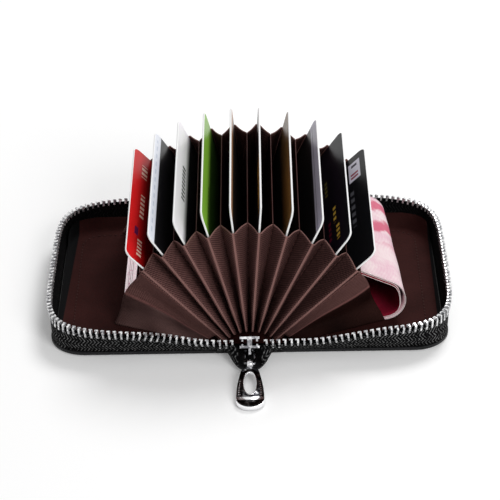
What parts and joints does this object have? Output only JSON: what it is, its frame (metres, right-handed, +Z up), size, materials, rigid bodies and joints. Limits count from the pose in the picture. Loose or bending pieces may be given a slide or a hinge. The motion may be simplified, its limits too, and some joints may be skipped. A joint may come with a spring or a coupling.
{
  "type": "card wallet",
  "caption": "Zip-round accordion card wallet lying open, its pleated card pockets fanned out between two lined covers with note compartments.",
  "frame": {"origin": "middle of the spine's underside, on the surface the open wallet lies on", "axes": "+X towards the right cover, +Y away from the slider, +Z up out of the open wallet"},
  "size_m": [0.1592, 0.1416, 0.0611],
  "materials": {
    "banknotes_left": "pink paper",
    "banknotes_right": "pink paper",
    "bill_gusset_back_left": "brown satin",
    "bill_gusset_back_right": "brown satin",
    "bill_gusset_front_left": "brown satin",
    "bill_gusset_front_right": "brown satin",
    "card_1": "printed plastic card",
    "card_10": "printed plastic card",
    "card_2": "printed plastic card",
    "card_3": "printed plastic card",
    "card_4": "printed plastic card",
    "card_5": "printed plastic card",
    "card_6": "printed plastic card",
    "card_7": "printed plastic card",
    "card_8": "printed plastic card",
    "card_9": "printed plastic card",
    "cover_board_left": "grey board",
    "cover_board_right": "grey board",
    "cover_leather_left": "pebbled black",
    "cover_leather_right": "pebbled black",
    "cover_lining_left": "burgundy brown",
    "cover_lining_right": "burgundy brown",
    "divider_1": "brown nylon twill",
    "divider_2": "brown nylon twill",
    "divider_3": "brown nylon twill",
    "divider_4": "brown nylon twill",
    "divider_5": "brown nylon twill",
    "divider_6": "brown nylon twill",
    "divider_7": "brown nylon twill",
    "divider_8": "brown nylon twill",
    "divider_9": "brown nylon twill",
    "end_panel_left": "brown nylon twill",
    "end_panel_right": "brown nylon twill",
    "gusset_1": "brown nylon twill",
    "gusset_10": "brown nylon twill",
    "gusset_2": "brown nylon twill",
    "gusset_3": "brown nylon twill",
    "gusset_4": "brown nylon twill",
    "gusset_5": "brown nylon twill",
    "gusset_6": "brown nylon twill",
    "gusset_7": "brown nylon twill",
    "gusset_8": "brown nylon twill",
    "gusset_9": "brown nylon twill",
    "puller": "bright metal",
    "puller_link": "bright metal",
    "slider_body": "bright metal",
    "spine_leather": "pebbled black",
    "spine_lining": "burgundy brown",
    "zip_bridge_back": "black herringbone",
    "zip_bridge_front": "black herringbone",
    "zip_tape_left": "black herringbone",
    "zip_tape_right": "black herringbone",
    "zip_teeth_left": "bright metal",
    "zip_teeth_right": "bright metal"
  },
  "bodies": {
    "spine": {"spine_leather": "spine_leather", "spine_lining": "spine_lining", "divider_5": "divider_5", "zip_bridge_front": "zip_bridge_front", "zip_bridge_back": "zip_bridge_back", "slider_body": "slider_body"},
    "cover_right": {"cover_leather_right": "cover_leather_right", "cover_board_right": "cover_board_right", "cover_lining_right": "cover_lining_right", "zip_tape_right": "zip_tape_right", "zip_teeth_right": "zip_teeth_right", "bill_gusset_front_right": "bill_gusset_front_right", "bill_gusset_back_right": "bill_gusset_back_right", "banknotes_right": "banknotes_right"},
    "pocket_6": {"gusset_6": "gusset_6"},
    "card_6": {"card_6": "card_6"},
    "divider_6": {"divider_6": "divider_6"},
    "pocket_7": {"gusset_7": "gusset_7"},
    "card_7": {"card_7": "card_7"},
    "divider_7": {"divider_7": "divider_7"},
    "pocket_8": {"gusset_8": "gusset_8"},
    "card_8": {"card_8": "card_8"},
    "divider_8": {"divider_8": "divider_8"},
    "pocket_9": {"gusset_9": "gusset_9"},
    "card_9": {"card_9": "card_9"},
    "divider_9": {"divider_9": "divider_9"},
    "pocket_10": {"gusset_10": "gusset_10"},
    "card_10": {"card_10": "card_10"},
    "end_panel_right": {"end_panel_right": "end_panel_right"},
    "cover_left": {"cover_leather_left": "cover_leather_left", "cover_board_left": "cover_board_left", "cover_lining_left": "cover_lining_left", "zip_tape_left": "zip_tape_left", "zip_teeth_left": "zip_teeth_left", "bill_gusset_front_left": "bill_gusset_front_left", "bill_gusset_back_left": "bill_gusset_back_left", "banknotes_left": "banknotes_left"},
    "pocket_5": {"gusset_5": "gusset_5"},
    "card_5": {"card_5": "card_5"},
    "divider_4": {"divider_4": "divider_4"},
    "pocket_4": {"gusset_4": "gusset_4"},
    "card_4": {"card_4": "card_4"},
    "divider_3": {"divider_3": "divider_3"},
    "pocket_3": {"gusset_3": "gusset_3"},
    "card_3": {"card_3": "card_3"},
    "divider_2": {"divider_2": "divider_2"},
    "pocket_2": {"gusset_2": "gusset_2"},
    "card_2": {"card_2": "card_2"},
    "divider_1": {"divider_1": "divider_1"},
    "pocket_1": {"gusset_1": "gusset_1"},
    "card_1": {"card_1": "card_1"},
    "end_panel_left": {"end_panel_left": "end_panel_left"},
    "puller_link": {"puller_link": "puller_link"},
    "puller": {"puller": "puller"}
  },
  "joints": [
    {"name": "cover_right_hinge", "type": "hinge", "parent": "spine", "child": "cover_right", "pos_m": [0.0125, 0, 0.0013], "axis": [0, 1, 0], "range_deg": [-90, 0], "deforming": ["bill_gusset_front_right", "bill_gusset_back_right", "banknotes_right", "zip_bridge_front", "zip_bridge_back"]},
    {"name": "fan_right_1", "type": "hinge", "parent": "spine", "child": "pocket_6", "pos_m": [0.00052, 0, 0.0058], "axis": [0, 1, 0], "range_deg": [-4.2, 0], "deforming": ["gusset_6"]},
    {"name": "card_6_slide", "type": "slide", "parent": "pocket_6", "child": "card_6", "axis": [0.0732, 0, 0.9973], "range_m": [0, 0.045]},
    {"name": "fan_right_2", "type": "hinge", "parent": "pocket_6", "child": "divider_6", "pos_m": [0.00157, 0, 0.00572], "axis": [0, 1, 0], "range_deg": [-5.2, 0]},
    {"name": "fan_right_3", "type": "hinge", "parent": "divider_6", "child": "pocket_7", "pos_m": [0.00261, 0, 0.00555], "axis": [0, 1, 0], "range_deg": [-5.2, 0], "deforming": ["gusset_7"]},
    {"name": "card_7_slide", "type": "slide", "parent": "pocket_7", "child": "card_7", "axis": [0.2521, 0, 0.9677], "range_m": [0, 0.045]},
    {"name": "fan_right_4", "type": "hinge", "parent": "pocket_7", "child": "divider_7", "pos_m": [0.00362, 0, 0.00529], "axis": [0, 1, 0], "range_deg": [-5.2, 0]},
    {"name": "fan_right_5", "type": "hinge", "parent": "divider_7", "child": "pocket_8", "pos_m": [0.00461, 0, 0.00493], "axis": [0, 1, 0], "range_deg": [-5.2, 0], "deforming": ["gusset_8"]},
    {"name": "card_8_slide", "type": "slide", "parent": "pocket_8", "child": "card_8", "axis": [0.4226, 0, 0.9063], "range_m": [0, 0.045]},
    {"name": "fan_right_6", "type": "hinge", "parent": "pocket_8", "child": "divider_8", "pos_m": [0.00556, 0, 0.00449], "axis": [0, 1, 0], "range_deg": [-5.2, 0]},
    {"name": "fan_right_7", "type": "hinge", "parent": "divider_8", "child": "pocket_9", "pos_m": [0.00647, 0, 0.00396], "axis": [0, 1, 0], "range_deg": [-5.2, 0], "deforming": ["gusset_9"]},
    {"name": "card_9_slide", "type": "slide", "parent": "pocket_9", "child": "card_9", "axis": [0.5793, 0, 0.8151], "range_m": [0, 0.045]},
    {"name": "fan_right_8", "type": "hinge", "parent": "pocket_9", "child": "divider_9", "pos_m": [0.00733, 0, 0.00335], "axis": [0, 1, 0], "range_deg": [-5.2, 0]},
    {"name": "fan_right_9", "type": "hinge", "parent": "divider_9", "child": "pocket_10", "pos_m": [0.00812, 0, 0.00267], "axis": [0, 1, 0], "range_deg": [-5.2, 0], "deforming": ["gusset_10"]},
    {"name": "card_10_slide", "type": "slide", "parent": "pocket_10", "child": "card_10", "axis": [0.7169, 0, 0.6972], "range_m": [0, 0.045]},
    {"name": "fan_right_10", "type": "hinge", "parent": "pocket_10", "child": "end_panel_right", "pos_m": [0.00886, 0, 0.00192], "axis": [0, 1, 0], "range_deg": [-1.1, 0]},
    {"name": "cover_left_hinge", "type": "hinge", "parent": "spine", "child": "cover_left", "pos_m": [-0.0125, 0, 0.0013], "axis": [0, -1, 0], "range_deg": [-90, 0], "deforming": ["bill_gusset_front_left", "bill_gusset_back_left", "banknotes_left"]},
    {"name": "fan_left_1", "type": "hinge", "parent": "spine", "child": "pocket_5", "pos_m": [-0.00052, 0, 0.0058], "axis": [0, -1, 0], "range_deg": [-5.6, 0], "deforming": ["gusset_5"]},
    {"name": "card_5_slide", "type": "slide", "parent": "pocket_5", "child": "card_5", "axis": [-0.0976, 0, 0.9952], "range_m": [0, 0.045]},
    {"name": "fan_left_2", "type": "hinge", "parent": "pocket_5", "child": "divider_4", "pos_m": [-0.00157, 0, 0.0057], "axis": [0, -1, 0], "range_deg": [-4.7, 0]},
    {"name": "fan_left_3", "type": "hinge", "parent": "divider_4", "child": "pocket_4", "pos_m": [-0.0026, 0, 0.00551], "axis": [0, -1, 0], "range_deg": [-4.7, 0], "deforming": ["gusset_4"]},
    {"name": "card_4_slide", "type": "slide", "parent": "pocket_4", "child": "card_4", "axis": [-0.2588, 0, 0.9659], "range_m": [0, 0.045]},
    {"name": "fan_left_4", "type": "hinge", "parent": "pocket_4", "child": "divider_3", "pos_m": [-0.00362, 0, 0.00524], "axis": [0, -1, 0], "range_deg": [-4.7, 0]},
    {"name": "fan_left_5", "type": "hinge", "parent": "divider_3", "child": "pocket_3", "pos_m": [-0.00461, 0, 0.00488], "axis": [0, -1, 0], "range_deg": [-4.7, 0], "deforming": ["gusset_3"]},
    {"name": "card_3_slide", "type": "slide", "parent": "pocket_3", "child": "card_3", "axis": [-0.4131, 0, 0.9107], "range_m": [0, 0.045]},
    {"name": "fan_left_6", "type": "hinge", "parent": "pocket_3", "child": "divider_2", "pos_m": [-0.00556, 0, 0.00445], "axis": [0, -1, 0], "range_deg": [-4.7, 0]},
    {"name": "fan_left_7", "type": "hinge", "parent": "divider_2", "child": "pocket_2", "pos_m": [-0.00648, 0, 0.00394], "axis": [0, -1, 0], "range_deg": [-4.7, 0], "deforming": ["gusset_2"]},
    {"name": "card_2_slide", "type": "slide", "parent": "pocket_2", "child": "card_2", "axis": [-0.5563, 0, 0.831], "range_m": [0, 0.045]},
    {"name": "fan_left_8", "type": "hinge", "parent": "pocket_2", "child": "divider_1", "pos_m": [-0.00735, 0, 0.00336], "axis": [0, -1, 0], "range_deg": [-4.7, 0]},
    {"name": "fan_left_9", "type": "hinge", "parent": "divider_1", "child": "pocket_1", "pos_m": [-0.00817, 0, 0.0027], "axis": [0, -1, 0], "range_deg": [-4.7, 0], "deforming": ["gusset_1"]},
    {"name": "card_1_slide", "type": "slide", "parent": "pocket_1", "child": "card_1", "axis": [-0.6845, 0, 0.729], "range_m": [0, 0.045]},
    {"name": "fan_left_10", "type": "hinge", "parent": "pocket_1", "child": "end_panel_left", "pos_m": [-0.00894, 0, 0.00198], "axis": [0, -1, 0], "range_deg": [-1.1, 0]},
    {"name": "puller_link_hinge", "type": "hinge", "parent": "spine", "child": "puller_link", "pos_m": [0, -0.05384, 0.00526], "axis": [-1, 0, 0], "range_deg": [0, 45]},
    {"name": "puller_hinge", "type": "hinge", "parent": "puller_link", "child": "puller", "pos_m": [0, -0.06071, 0.0035], "axis": [-1, 0, 0], "range_deg": [0, 70]}
  ],
  "couplings": [
    {"joint": "fan_right_1", "follows": "cover_right_hinge", "ratio": 0.046666},
    {"joint": "fan_right_2", "follows": "cover_right_hinge", "ratio": 0.057777},
    {"joint": "fan_right_3", "follows": "cover_right_hinge", "ratio": 0.057777},
    {"joint": "fan_right_4", "follows": "cover_right_hinge", "ratio": 0.057777},
    {"joint": "fan_right_5", "follows": "cover_right_hinge", "ratio": 0.057777},
    {"joint": "fan_right_6", "follows": "cover_right_hinge", "ratio": 0.057777},
    {"joint": "fan_right_7", "follows": "cover_right_hinge", "ratio": 0.057777},
    {"joint": "fan_right_8", "follows": "cover_right_hinge", "ratio": 0.057777},
    {"joint": "fan_right_9", "follows": "cover_right_hinge", "ratio": 0.057777},
    {"joint": "fan_right_10", "follows": "cover_right_hinge", "ratio": 0.012222},
    {"joint": "fan_left_1", "follows": "cover_left_hinge", "ratio": 0.062222},
    {"joint": "fan_left_2", "follows": "cover_left_hinge", "ratio": 0.052222},
    {"joint": "fan_left_3", "follows": "cover_left_hinge", "ratio": 0.052222},
    {"joint": "fan_left_4", "follows": "cover_left_hinge", "ratio": 0.052222},
    {"joint": "fan_left_5", "follows": "cover_left_hinge", "ratio": 0.052222},
    {"joint": "fan_left_6", "follows": "cover_left_hinge", "ratio": 0.052222},
    {"joint": "fan_left_7", "follows": "cover_left_hinge", "ratio": 0.052222},
    {"joint": "fan_left_8", "follows": "cover_left_hinge", "ratio": 0.052222},
    {"joint": "fan_left_9", "follows": "cover_left_hinge", "ratio": 0.052222},
    {"joint": "fan_left_10", "follows": "cover_left_hinge", "ratio": 0.012222}
  ]
}
